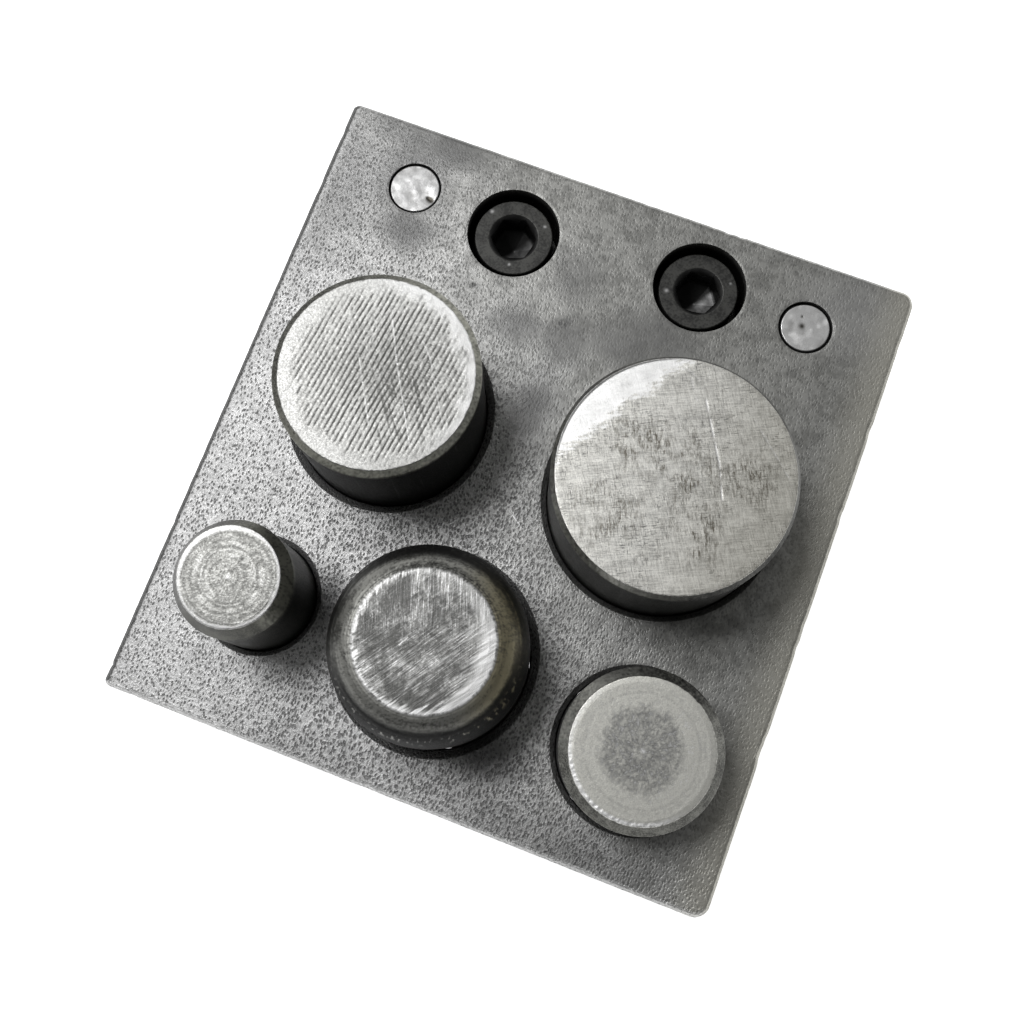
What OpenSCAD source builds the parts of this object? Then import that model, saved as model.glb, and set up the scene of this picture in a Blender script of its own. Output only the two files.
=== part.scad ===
// Disc cutter for sheet metal, in millimetres, +Z up.
// A guide plate and a die plate are held a slot apart by a spacer strip, two cap
// screws and two dowels. Five loose round punches stand in the matched bores, through
// both plates and on the bench. The origin is the middle of the underside, with the
// screws at the back (+Y).

/* [Block] */
// Width of both plates, left to right
block_w = 72; // [68:0.5:90]
// Depth of both plates, front to back
block_d = 76.2; // [70:0.1:95]
// Thickness of the guide plate on top
guide_t = 12.7; // [10:0.1:20]
// Thickness of the die plate underneath
die_t = 12.7; // [10:0.1:20]
// Height of the slot that the sheet metal slides into
slot_h = 1.8; // [0.8:0.1:4]
// Radius of the plates' upright corners
corner_r = 1; // [0.4:0.1:3]
// Bevel along the plates' outer edges
edge_bevel = 0.4; // [0.1:0.05:1]

/* [Spacer strip] */
// Depth of the spacer strip, forward from the plates' back edge
spacer_d = 15.6; // [14:0.1:18]
// How far the strip stays inside the plates' back and side edges
spacer_inset = 0.4; // [0.1:0.1:1.5]

/* [Cap screws] */
// Diameter of the screws' thread
screw_d = 6.35; // [5:0.05:7]
// Diameter of the screws' heads
head_d = 9.48; // [8:0.02:10]
// Height of the screws' heads
head_h = 6.35; // [4:0.05:7]
// Bevel round the top of each head
head_bevel = 0.45; // [0.1:0.05:1]
// Width across the flats of the hex sockets
hex_af = 4.76; // [3:0.02:5]
// Depth of the hex sockets' flats
hex_depth = 3.2; // [2:0.1:3.6]
// How far the screws' tips stop above the underside of the block
screw_tip = 3.6; // [1:0.1:6]
// Diameter of the counterbores that take the heads
counterbore_d = 11.11; // [10.6:0.01:12]
// How far the heads lie below the top of the guide plate
head_sink = 1.38; // [0.2:0.02:2]
// Distance between the two screws, left to right
screw_spacing = 23.2; // [20:0.1:30]
// Back edge to the middle of the left screw
screw_left_back = 9.25; // [7:0.05:9.5]
// Back edge to the middle of the right screw
screw_right_back = 7.95; // [7:0.05:9.5]

/* [Dowels] */
// Diameter of the dowels
dowel_d = 6.35; // [5:0.05:8]
// How far the dowels stop above the underside of the block
dowel_foot = 1.65; // [0.2:0.05:4]
// Bevel at both ends of each dowel
dowel_bevel = 0.38; // [0.1:0.02:0.8]
// How far the dowels lie below the top of the guide plate
dowel_sink = 0.15; // [0:0.05:1]
// Side edges of the block to the middles of the dowels
dowel_side = 11.1; // [8:0.1:14]
// Back edge to the middle of the left dowel
dowel_left_back = 8; // [6.5:0.05:9.5]
// Back edge to the middle of the right dowel
dowel_right_back = 8.3; // [6.5:0.05:9.5]

/* [Bores] */
// Gap all round a punch in its bores
punch_fit = 0.05; // [0.02:0.01:0.1]
// Gap all round a dowel in its holes
dowel_fit = 0.02; // [0.01:0.01:0.05]
// Gap all round a thread in its tapped hole
thread_fit = 0.04; // [0.02:0.01:0.1]
// Gap all round a thread in the guide plate and the spacer strip
shank_gap = 0.35; // [0.2:0.05:0.6]
// Depth of the cutting land at the top of each die bore
land_h = 6; // [3:0.1:8]
// How much wider than the land a die bore is below it, all round
die_relief = 0.5; // [0.2:0.05:1]
// Bevel where bores and holes meet the underside of either plate
back_bevel = 0.3; // [0.1:0.05:0.6]

/* [Rear left punch] */
// Diameter
rear_left_d = 22.4; // [18:0.1:24]
// Left edge of the block to its middle
rear_left_side = 18.8; // [17:0.05:20]
// Share of the depth in front of the spacer strip that lies before its middle
rear_left_share = 0.685; // [0.665:0.001:0.71]
// How far it stands above the guide plate
rear_left_rise = 14.7; // [4:0.1:24]
// Width of the bevel round its struck face
rear_left_bevel = 0.7; // [0.2:0.05:2]
// Height of that bevel
rear_left_bevel_h = 0.45; // [0.2:0.05:3]
// Bevel at the mouth of its bore
rear_left_mouth = 0.97; // [0.2:0.01:1.2]

/* [Rear right punch] */
// Diameter
rear_right_d = 26; // [20:0.1:27]
// Right edge of the block to its middle
rear_right_side = 20.05; // [19:0.05:21]
// Share of the depth in front of the spacer strip that lies before its middle
rear_right_share = 0.6985; // [0.68:0.0005:0.71]
// How far it stands above the guide plate
rear_right_rise = 14.6; // [4:0.1:24]
// Width of the bevel round its struck face
rear_right_bevel = 0.45; // [0.2:0.05:2]
// Height of that bevel
rear_right_bevel_h = 0.8; // [0.2:0.05:3]
// Bevel at the mouth of its bore
rear_right_mouth = 0.72; // [0.2:0.01:1.2]

/* [Front left punch] */
// Diameter
front_left_d = 12.6; // [8:0.1:15]
// Left edge of the block to its middle
front_left_side = 12.9; // [12:0.05:14]
// Front edge of the block to its middle
front_left_front = 15.75; // [14:0.05:18]
// How far it stands above the guide plate
front_left_rise = 15.5; // [4:0.1:24]
// Width of the bevel round its struck face
front_left_bevel = 0.95; // [0.2:0.05:2]
// Height of that bevel
front_left_bevel_h = 2.2; // [0.2:0.05:3]
// Bevel at the mouth of its bore
front_left_mouth = 0.65; // [0.2:0.01:1.2]

/* [Front middle punch] */
// Diameter
front_middle_d = 21.6; // [16:0.1:23]
// Share of the spare width between its neighbours that lies to its left
front_middle_share = 0.426; // [0.3:0.001:0.7]
// Front edge of the block to its middle
front_middle_front = 16.8; // [15:0.05:18]
// How far it stands above the guide plate
front_middle_rise = 14.5; // [8:0.1:24]
// Width of the worn, rounded shoulder round its struck face
front_middle_shoulder = 3.4; // [1:0.1:5]
// Height of that shoulder
front_middle_shoulder_h = 6; // [3:0.1:7.5]
// Bevel at the mouth of its bore
front_middle_mouth = 1.1; // [0.2:0.01:1.3]

/* [Front right punch] */
// Diameter
front_right_d = 17.5; // [12:0.1:20]
// Right edge of the block to its middle
front_right_side = 13.3; // [12.5:0.05:14]
// Front edge of the block to its middle
front_right_front = 14.6; // [14:0.05:17]
// How far it stands above the guide plate
front_right_rise = 9; // [4:0.1:24]
// Width of the bevel round its struck face
front_right_bevel = 1.05; // [0.2:0.05:2]
// Height of that bevel
front_right_bevel_h = 1.1; // [0.2:0.05:3]
// Bevel at the mouth of its bore
front_right_mouth = 0.66; // [0.2:0.01:1.2]

/* [Struck faces] */
// Diameter of the lathe centre mark in the small punches' faces
centre_d = 0.9; // [0.3:0.1:2]

/* [Hidden] */

$fn = 96;
// How far a cutting tool runs past the face that it cuts
past = 1;
// Straight runs that make up a quarter of a rounded shoulder
shoulder_steps = 12;

// Heights of the slot's floor, the guide plate's two faces and the screw heads' seats
slot_z = die_t;
guide_z = slot_z + slot_h;
top_z = guide_z + guide_t;
seat_z = top_z - head_sink - head_h;
screw_len = seat_z - screw_tip;
dowel_len = top_z - dowel_sink - dowel_foot;

left_x = -block_w / 2;
right_x = block_w / 2;
front_y = -block_d / 2;
back_y = block_d / 2;

// Middles of the screws and dowels
screw_left_at = [-screw_spacing / 2, back_y - screw_left_back];
screw_right_at = [screw_spacing / 2, back_y - screw_right_back];
dowel_left_at = [left_x + dowel_side, back_y - dowel_left_back];
dowel_right_at = [right_x - dowel_side, back_y - dowel_right_back];
SCREWS = [screw_left_at, screw_right_at];
DOWELS = [dowel_left_at, dowel_right_at];

// Depth of the block in front of the spacer strip, and the inner edges of the two outer
// punches in the front row, with what the middle one leaves spare between them
open_d = block_d - spacer_inset - spacer_d;
front_row_left_x = left_x + front_left_side + front_left_d / 2;
front_row_right_x = right_x - front_right_side - front_right_d / 2;
front_row_spare = front_row_right_x - front_row_left_x - front_middle_d;
front_middle_x = front_row_left_x + front_middle_share * front_row_spare + front_middle_d / 2;

// Middles of the punches
rear_left_at = [left_x + rear_left_side, front_y + rear_left_share * open_d];
rear_right_at = [right_x - rear_right_side, front_y + rear_right_share * open_d];
front_left_at = [left_x + front_left_side, front_y + front_left_front];
front_middle_at = [front_middle_x, front_y + front_middle_front];
front_right_at = [right_x - front_right_side, front_y + front_right_front];

// Every bore: its middle, the diameter of its punch and the bevel at its mouth
BORES = [
    [rear_left_at, rear_left_d, rear_left_mouth],
    [rear_right_at, rear_right_d, rear_right_mouth],
    [front_left_at, front_left_d, front_left_mouth],
    [front_middle_at, front_middle_d, front_middle_mouth],
    [front_right_at, front_right_d, front_right_mouth]
];

// A plate with round upright corners and bevelled long edges, standing on z = 0
module plate(thick) {
    intersection() {
        linear_extrude(thick) rounded_square(block_w, block_d, corner_r);
        translate([0, block_d / 2, 0]) rotate([90, 0, 0])
            linear_extrude(block_d) bevelled_square(block_w, thick, edge_bevel);
        translate([-block_w / 2, 0, 0]) rotate([90, 0, 90])
            linear_extrude(block_w) bevelled_square(block_d, thick, edge_bevel);
    }
}

// A square outline with round corners, about its middle
module rounded_square(w, d, r) {
    square([w - 2 * r, d], center = true);
    square([w, d - 2 * r], center = true);
    for (x = [-1, 1], y = [-1, 1])
        translate([x * (w / 2 - r), y * (d / 2 - r)]) circle(r);
}

// The end view of a bevelled plate, from z = 0 up
module bevelled_square(w, h, b) {
    polygon([
        [-w / 2 + b, 0], [w / 2 - b, 0], [w / 2, b], [w / 2, h - b],
        [w / 2 - b, h], [-w / 2 + b, h], [-w / 2, h - b], [-w / 2, b]
    ]);
}

// A cutter for a through hole of diameter d in a plate from z = 0 to thick,
// bevelled by low at its underside and by high at its top
module hole(d, thick, low, high) {
    translate([0, 0, -past]) cylinder(d = d, h = thick + 2 * past);
    translate([0, 0, -past]) cylinder(d1 = d + 2 * (low + past), d2 = d, h = low + past);
    translate([0, 0, thick - high])
        cylinder(d1 = d, d2 = d + 2 * (high + past), h = high + past);
}

// A cutter for a die bore: the land at the top, and the wider relief below it, which
// lets the cut disc fall
module die_bore(punch_d) {
    land_d = punch_d + 2 * punch_fit;
    relief_d = land_d + 2 * die_relief;
    hole(land_d, die_t, 0, 0);
    translate([0, 0, -past]) cylinder(d = relief_d, h = die_t - land_h + past);
    translate([0, 0, -past])
        cylinder(d1 = relief_d + 2 * (back_bevel + past), d2 = relief_d, h = back_bevel + past);
}

module guide_plate() {
    color([0.62, 0.62, 0.6]) translate([0, 0, guide_z]) difference() {
        plate(guide_t);
        for (b = BORES) translate(b[0]) hole(b[1] + 2 * punch_fit, guide_t, back_bevel, b[2]);
        for (s = SCREWS) translate(s) {
            hole(screw_d + 2 * shank_gap, guide_t, back_bevel, 0);
            translate([0, 0, seat_z - guide_z])
                cylinder(d = counterbore_d, h = top_z - seat_z + past);
        }
        for (d = DOWELS) translate(d) hole(dowel_d + 2 * dowel_fit, guide_t, back_bevel, 0);
    }
}

module spacer_strip() {
    color([0.7, 0.7, 0.68]) translate([0, 0, slot_z]) difference() {
        translate([left_x + spacer_inset, back_y - spacer_inset - spacer_d, 0])
            cube([block_w - 2 * spacer_inset, spacer_d, slot_h]);
        for (s = SCREWS) translate(s) hole(screw_d + 2 * shank_gap, slot_h, 0, 0);
        for (d = DOWELS) translate(d) hole(dowel_d + 2 * dowel_fit, slot_h, 0, 0);
    }
}

module die_plate() {
    color([0.6, 0.6, 0.58]) difference() {
        plate(die_t);
        for (b = BORES) translate(b[0]) die_bore(b[1]);
        for (s = SCREWS) translate(s) hole(screw_d + 2 * thread_fit, die_t, back_bevel, 0);
        for (d = DOWELS) translate(d) hole(dowel_d + 2 * dowel_fit, die_t, back_bevel, 0);
    }
}

// A cap screw with the underside of its head at z = 0, a countersunk hexagon socket
// and a drill point below the hexagon
module cap_screw() {
    hex_across = hex_af / cos(30);
    point_h = hex_af / 2 * tan(30);
    sink_h = (hex_across - hex_af) / 2;
    difference() {
        rotate_extrude() polygon([
            [0, -screw_len], [screw_d / 2 - head_bevel, -screw_len],
            [screw_d / 2, -screw_len + head_bevel], [screw_d / 2, 0], [head_d / 2, 0],
            [head_d / 2, head_h - head_bevel], [head_d / 2 - head_bevel, head_h], [0, head_h]
        ]);
        translate([0, 0, head_h - hex_depth])
            cylinder(d = hex_across, h = hex_depth + past, $fn = 6);
        translate([0, 0, head_h - hex_depth - point_h])
            cylinder(d1 = 0, d2 = hex_af, h = point_h);
        translate([0, 0, head_h - sink_h])
            cylinder(d1 = hex_af, d2 = hex_af + 2 * (sink_h + past), h = sink_h + past);
    }
}

module screw_left() {
    color([0.16, 0.16, 0.17]) translate([each screw_left_at, seat_z]) cap_screw();
}

module screw_right() {
    color([0.16, 0.16, 0.17]) translate([each screw_right_at, seat_z]) cap_screw();
}

// A dowel with bevelled ends, hanging from z = 0
module dowel() {
    r = dowel_d / 2;
    rotate_extrude() polygon([
        [0, -dowel_len], [r - dowel_bevel, -dowel_len], [r, -dowel_len + dowel_bevel],
        [r, -dowel_bevel], [r - dowel_bevel, 0], [0, 0]
    ]);
}

module dowel_left() {
    color([0.8, 0.8, 0.78]) translate([each dowel_left_at, top_z - dowel_sink]) dowel();
}

module dowel_right() {
    color([0.8, 0.8, 0.78]) translate([each dowel_right_at, top_z - dowel_sink]) dowel();
}

// A turned punch standing on z = 0, with a bevel of width b and height b_h round its
// struck face and a lathe centre mark of diameter mark in it
module punch(d, rise, b, b_h, mark = 0) {
    r = d / 2;
    h = top_z + rise;
    rotate_extrude() polygon([
        [0, 0], [r, 0], [r, h - b_h], [r - b, h], [mark / 2, h], [0, h - mark / 2]
    ]);
}

// A turned punch whose shoulder is hammered round: a quarter ellipse of width b and
// height b_h between its side and its struck face
module round_shouldered_punch(d, rise, b, b_h) {
    r = d / 2;
    h = top_z + rise;
    shoulder = [
        for (i = [0 : shoulder_steps])
            let (a = 90 * i / shoulder_steps)
            [r - b + b * cos(a), h - b_h + b_h * sin(a)]
    ];
    rotate_extrude() polygon(concat([[0, 0], [r, 0]], shoulder, [[0, h]]));
}

module punch_rear_left() {
    color([0.86, 0.86, 0.84]) translate(rear_left_at)
        punch(rear_left_d, rear_left_rise, rear_left_bevel, rear_left_bevel_h);
}

module punch_rear_right() {
    color([0.82, 0.82, 0.79]) translate(rear_right_at)
        punch(rear_right_d, rear_right_rise, rear_right_bevel, rear_right_bevel_h);
}

module punch_front_left() {
    color([0.78, 0.78, 0.76]) translate(front_left_at)
        punch(front_left_d, front_left_rise, front_left_bevel, front_left_bevel_h, centre_d);
}

module punch_front_middle() {
    color([0.7, 0.69, 0.66]) translate(front_middle_at)
        round_shouldered_punch(front_middle_d, front_middle_rise, front_middle_shoulder,
                               front_middle_shoulder_h);
}

module punch_front_right() {
    color([0.72, 0.72, 0.7]) translate(front_right_at)
        punch(front_right_d, front_right_rise, front_right_bevel, front_right_bevel_h,
              centre_d);
}

guide_plate();
spacer_strip();
die_plate();
screw_left();
screw_right();
dowel_left();
dowel_right();
punch_rear_left();
punch_rear_right();
punch_front_left();
punch_front_middle();
punch_front_right();
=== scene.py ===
"""Looks of a bench disc cutter: two steel plates, their fasteners and five round punches.

Every shape is worked out in millimetres in the frame of the solids and put into its mesh
in metres. Places and outer sizes come from the frame's own boxes. +Z is up and the cap
screws are at the back (+Y).
"""
import math

import bmesh
import bpy
import numpy as np
from mathutils import Euler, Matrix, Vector
from mathutils.geometry import delaunay_2d_cdt


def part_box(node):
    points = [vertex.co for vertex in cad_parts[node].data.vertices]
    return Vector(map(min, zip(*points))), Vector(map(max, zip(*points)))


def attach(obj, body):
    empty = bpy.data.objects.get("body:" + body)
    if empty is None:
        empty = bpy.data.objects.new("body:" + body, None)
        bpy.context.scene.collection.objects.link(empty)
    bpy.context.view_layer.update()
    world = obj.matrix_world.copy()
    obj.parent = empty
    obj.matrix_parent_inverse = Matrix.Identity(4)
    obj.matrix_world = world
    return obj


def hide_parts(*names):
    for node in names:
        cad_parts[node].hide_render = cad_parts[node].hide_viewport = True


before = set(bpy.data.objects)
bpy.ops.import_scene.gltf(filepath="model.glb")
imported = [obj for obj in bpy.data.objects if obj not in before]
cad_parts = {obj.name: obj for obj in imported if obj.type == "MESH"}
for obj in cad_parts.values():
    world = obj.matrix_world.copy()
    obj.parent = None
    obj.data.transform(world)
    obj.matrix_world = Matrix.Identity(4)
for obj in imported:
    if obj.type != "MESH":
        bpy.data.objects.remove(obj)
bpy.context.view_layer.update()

MM = 0.001
PHOTO_SIDE = 1024
SENSOR_WIDTH = 36.0
LATTICE = 256
ENDLESS = 1e6


# ---------------------------------------------------------------- sizes shared with the solids

EDGE_BEVEL = 0.4
PLATE_CORNERS = (1.5, 0.9, 0.8, 1.8)
PUNCH_FIT = 0.05
DOWEL_FIT = 0.02
SHANK_GAP = 0.35
THREAD_FIT = 0.04
BACK_BEVEL = 0.3
LAND_HEIGHT = 6.0
DIE_RELIEF = 0.5
FOOT = 0.3
SCREW_DIAMETER = 6.35
HEAD_HEIGHT = 6.35
COUNTERBORE = 11.11
HEX_ACROSS = 4.76
HEX_DEPTH = 3.2
COUNTERSINK = 2.98
THREAD_PITCH = 1.27
TIP_BEVEL = 0.45
HEAD_BEVEL = 0.1
FLUTES = 48
DOWEL_BEVELS = {"left": 0.27, "right": 0.38}
STRIP_BEVEL = 0.05
STRIP_CORNERS = (0.25, 0.25, 0.25, 0.25)
SCREW_NODES = ("screw_left", "screw_right")
DOWEL_NODES = ("dowel_left", "dowel_right")

# How finely the surfaces are divided: points round each hole, punch, screw and dowel, how
# far apart points lie along outlines and faces, and the flat margin kept round each hole
BORE_COLUMNS = 288
COUNTERBORE_COLUMNS = 160
HOLE_COLUMNS = 128
PUNCH_COLUMNS = 512
SCREW_COLUMNS = 240
DOWEL_COLUMNS = 200
OUTLINE_PITCH = 0.4
FACE_PITCH = 0.115
BORE_PITCH = 0.2
HOLE_PITCH = 0.15
BORE_MARGIN = 0.35
HOLE_MARGIN = 0.3

# Each punch: width and height of the bevel round its struck face, how far the face's rim
# lies below its middle and over what width, the bevel at its bore's mouth, and where its
# bevel is rubbed and where it is darkened as painted shade (the way there from +X, how
# wide, and how much), and how far down the side its colour fades out. The one without
# these two sectors has a round shoulder that is worn and shaded by a rule of its own.
PUNCHES = {
    "rear_left": {"bevel": 0.7, "bevel_height": 0.45, "crown": 0.03, "rim": 1.0, "mouth": 0.97,
                  "rubbed": (-20, 125, 0.8), "grimy": (0, 90, 0), "fade": 0.7},
    "rear_right": {"bevel": 0.45, "bevel_height": 0.8, "crown": 0.012, "rim": 0.5, "mouth": 0.72,
                   "rubbed": (-130, 60, 0.8), "grimy": (-50, 50, 0.6), "fade": 0.3},
    "front_left": {"bevel": 0.95, "bevel_height": 2.2, "crown": 0.03, "rim": 0.5, "mouth": 0.65,
                   "rubbed": (40, 70, 1.3), "grimy": (160, 75, 0.5), "fade": 1.8},
    "front_middle": {"bevel": 3.4, "bevel_height": 6.0, "crown": 0.04, "rim": 0.8, "mouth": 1.1,
                     "fade": 0.3},
    "front_right": {"bevel": 1.05, "bevel_height": 1.1, "crown": 0.04, "rim": 0.6, "mouth": 0.66,
                    "rubbed": (150, 48, 0.6), "grimy": (95, 50, 0.75), "fade": 0.3},
}


def box_mm(node):
    """Lowest and highest corner of a solid, in millimetres."""
    low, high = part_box(node)
    return np.array(low) / MM, np.array(high) / MM


def middle(node):
    """Middle of a solid seen from above."""
    low, high = box_mm(node)
    return (low[:2] + high[:2]) / 2


def thickness(node):
    """Height of a solid from its lowest to its highest point."""
    low, high = box_mm(node)
    return high[2] - low[2]


def radius(node):
    """Radius of a round solid."""
    low, high = box_mm(node)
    return (high[0] - low[0]) / 2


# ---------------------------------------------------------------- random heights and steps

def ramp(low, high, value):
    """0 at low, 1 at high, an S curve between them, and level beyond them."""
    t = np.clip((value - low) / (high - low), 0, 1)
    return t * t * (3 - 2 * t)


def noise(x, y, pitch, seed):
    """Random heights from -1 to 1: random values on a square lattice of that pitch,
    joined by S curves between neighbours along both ways."""
    table = np.random.default_rng(seed).uniform(-1, 1, (LATTICE, LATTICE))
    u, v = np.asarray(x) / pitch, np.asarray(y) / pitch
    column, row = np.floor(u).astype(int), np.floor(v).astype(int)
    a, b = ramp(0, 1, u - column), ramp(0, 1, v - row)
    left, right = column % LATTICE, (column + 1) % LATTICE
    near, far = row % LATTICE, (row + 1) % LATTICE
    front = table[left, near] * (1 - a) + table[right, near] * a
    back = table[left, far] * (1 - a) + table[right, far] * a
    return front * (1 - b) + back * b


def bell(value, middle_at, width):
    """1 where a value is at the middle, falling off like a bell over that width."""
    return np.exp(-((value - middle_at) / width) ** 2)


class Spots:
    """Places on a round piece seen from above, counted from its middle, and the random
    and drawn patterns over them. Random heights run from -1 to 1."""

    def __init__(self, grid, at):
        self.x, self.y = grid[..., 0] - at[0], grid[..., 1] - at[1]
        self.r = np.hypot(self.x, self.y)

    def toward(self, way_x, way_y):
        """How far each place lies along a direction."""
        return way_x * self.x + way_y * self.y

    def noise(self, pitch, seed):
        """Random heights without a direction."""
        return noise(self.x, self.y, pitch, seed)

    def streaks(self, turn, length, width, seed):
        """Random heights drawn out along lines that are turned from +X."""
        turn = math.radians(turn)
        along = self.x * math.cos(turn) + self.y * math.sin(turn)
        across = self.y * math.cos(turn) - self.x * math.sin(turn)
        return noise(along / length, across / width, 1, seed)

    def rings(self, pitch, reach, seed):
        """Random heights in rings round the middle; one set of rings gives way to another
        here and there, over that reach."""
        swap = ramp(-0.35, 0.35, self.noise(reach, seed))
        first = noise(self.r, 0 * self.r, pitch, seed + 1)
        other = noise(self.r, 0 * self.r, pitch, seed + 2)
        return first + (other - first) * swap

    def spot(self, x, y, reach):
        """1 at that place, falling off within that reach of it."""
        return bell(np.hypot(self.x - x, self.y - y), 0, reach)

    def scratch(self, width, *places):
        """1 on the broken line through those places, falling off within that width."""
        lines = []
        for start, end in zip(places, places[1:]):
            way = np.array(end) - np.array(start)
            x, y = self.x - start[0], self.y - start[1]
            share = np.clip((x * way[0] + y * way[1]) / (way @ way), 0, 1)
            lines.append(bell(np.hypot(x - share * way[0], y - share * way[1]), 0, width))
        return np.maximum.reduce(lines)


# ---------------------------------------------------------------- surfaces

class Skin:
    """Points and faces of one piece, gathered part by part, with a few values per point."""

    # groove darkens a place and shine brightens it: besides real grooves, pits, scratches and rubbed
    # metal, they carry painted shade in holes, sockets and on bevels, and painted highlights on punch
    # rims, a facet and a socket floor
    MARKS = ("face", "bevel", "groove", "shine")

    def __init__(self):
        self.points, self.faces, self.smooth = [], [], []
        self.marks = {mark: [] for mark in self.MARKS}
        self.count = 0

    def add(self, points, faces, smooth=True, **marks):
        """Adds points (n x 3, millimetres) and faces that count from the first of them."""
        points = np.asarray(points, float).reshape(-1, 3)
        self.points.append(points)
        self.faces += (np.asarray(faces) + self.count).tolist()
        self.smooth.append(np.full(len(faces), smooth))
        for mark, values in self.marks.items():
            given = np.broadcast_to(marks.get(mark, 0.0), len(points))
            values.append(np.asarray(given, float))
        self.count += len(points)

    def add_grid(self, points, **marks):
        """Adds a grid of points (rows x columns x 3) whose last column joins its first."""
        rows, columns = points.shape[:2]
        flat = {mark: np.broadcast_to(value, (rows, columns)).ravel()
                for mark, value in marks.items()}
        self.add(points, ring_faces(rows, columns), **flat)

    def piece(self, name, node, body, finish):
        """The finished object: doubled points are merged, so seams and poles are closed."""
        mesh = bpy.data.meshes.new(name)
        mesh.from_pydata(np.concatenate(self.points) * MM, [], self.faces)
        mesh.polygons.foreach_set("use_smooth", np.concatenate(self.smooth))
        for mark, values in self.marks.items():
            layer = mesh.attributes.new(mark, "FLOAT", "POINT")
            layer.data.foreach_set("value", np.concatenate(values).astype(np.float32))
        work = bmesh.new()
        work.from_mesh(mesh)
        bmesh.ops.remove_doubles(work, verts=work.verts, dist=2e-7)
        work.to_mesh(mesh)
        work.free()
        mesh.materials.append(finish)
        mesh.update()
        obj = placed(name, mesh)
        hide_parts(node)
        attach(obj, body)
        return obj


def placed(name, data):
    """A new object with that mesh, lamp or lens in the scene."""
    obj = bpy.data.objects.new(name, data)
    bpy.context.scene.collection.objects.link(obj)
    return obj


def ring_faces(rows, columns):
    """Four-sided faces between neighbouring points of rings laid one after another."""
    row = np.arange(rows - 1)[:, None] * columns
    column = np.arange(columns)[None, :]
    after = (column + 1) % columns
    quads = [row + column, row + after, row + columns + after, row + columns + column]
    return np.stack(quads, axis=-1).reshape(-1, 4)


def run(start, end, pitch):
    """Evenly spaced points from start to just before end, about pitch apart."""
    steps = max(1, int(round(math.dist(start, end) / pitch)))
    share = np.arange(steps)[:, None] / steps
    return np.array(start) * (1 - share) + np.array(end) * share


def rounded_line(corners, arc_steps=4):
    """Points along a broken line whose inner corners are rounded.

    Each corner is (across, height, fillet radius, pitch of the run that leaves it). A
    corner's arc touches both of its runs."""
    spots = [np.array(corner[:2], float) for corner in corners]
    start, parts = spots[0], []
    for i in range(1, len(corners) - 1):
        back = spots[i - 1] - spots[i]
        ahead = spots[i + 1] - spots[i]
        back, ahead = back / np.hypot(*back), ahead / np.hypot(*ahead)
        fillet = corners[i][2]
        half = math.acos(np.clip(back @ ahead, -1, 1)) / 2
        reach = fillet / math.tan(half)
        centre = spots[i] + (back + ahead) / np.hypot(*(back + ahead)) * fillet / math.sin(half)
        first, last = spots[i] + back * reach, spots[i] + ahead * reach
        parts.append(run(start, first, corners[i - 1][3]))
        share = np.arange(arc_steps)[:, None] / arc_steps
        chord = first * (1 - share) + last * share - centre
        parts.append(centre + chord / np.hypot(*chord.T)[:, None] * fillet)
        start = last
    parts.append(run(start, spots[-1], corners[-2][3]))
    parts.append(spots[-1][None])
    return np.concatenate(parts)


def turned(line, at, columns):
    """A line of (radius, height) points turned about an upright axis at a place: a grid
    of rows along the line and columns round the axis."""
    angle = np.arange(columns) * 2 * np.pi / columns
    r, z = line[:, 0, None], line[:, 1, None]
    x = at[0] + r * np.cos(angle)
    y = at[1] + r * np.sin(angle)
    return np.stack([x, y, np.broadcast_to(z, x.shape)], axis=-1)


# ---------------------------------------------------------------- plates

class Outline:
    """A rectangle with round corners as a path, from the back right corner round by the
    left: for each column its place on the outline and the way outwards there."""

    def __init__(self, low, high, corners, pitch):
        edges, ways = [], []
        tips = [(high[0], high[1]), (low[0], high[1]), (low[0], low[1]), (high[0], low[1])]
        inwards = [(-1, -1), (1, -1), (1, 1), (-1, 1)]
        arcs = []
        for i in range(4):
            angle = np.radians(90 * i + np.linspace(0, 90, 9))
            ways_here = np.stack([np.cos(angle), np.sin(angle)], axis=-1)
            centre = np.array(tips[i]) + np.array(inwards[i]) * corners[i]
            arcs.append((centre + ways_here * corners[i], ways_here))
        for i, (arc, ways_here) in enumerate(arcs):
            side = run(arc[-1], arcs[(i + 1) % 4][0][0], pitch)[1:]
            edges += [arc, side]
            ways += [ways_here, np.tile(ways_here[-1], (len(side), 1))]
        self.edge, self.ways = np.concatenate(edges), np.concatenate(ways)
        step = np.hypot(*np.diff(self.edge, axis=0).T)
        self.along = np.concatenate([[0], np.cumsum(step)])

    def at(self, inset):
        """The outline drawn in by inset, which may differ by column."""
        return self.edge - self.ways * np.broadcast_to(inset, len(self.edge))[:, None]

    def band(self, insets, heights):
        """A grid with one row for each inset and height, each one number or a row."""
        rows = [np.column_stack([self.at(inset), np.broadcast_to(height, len(self.edge))])
                for inset, height in zip(insets, heights)]
        return np.stack(rows)


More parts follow.
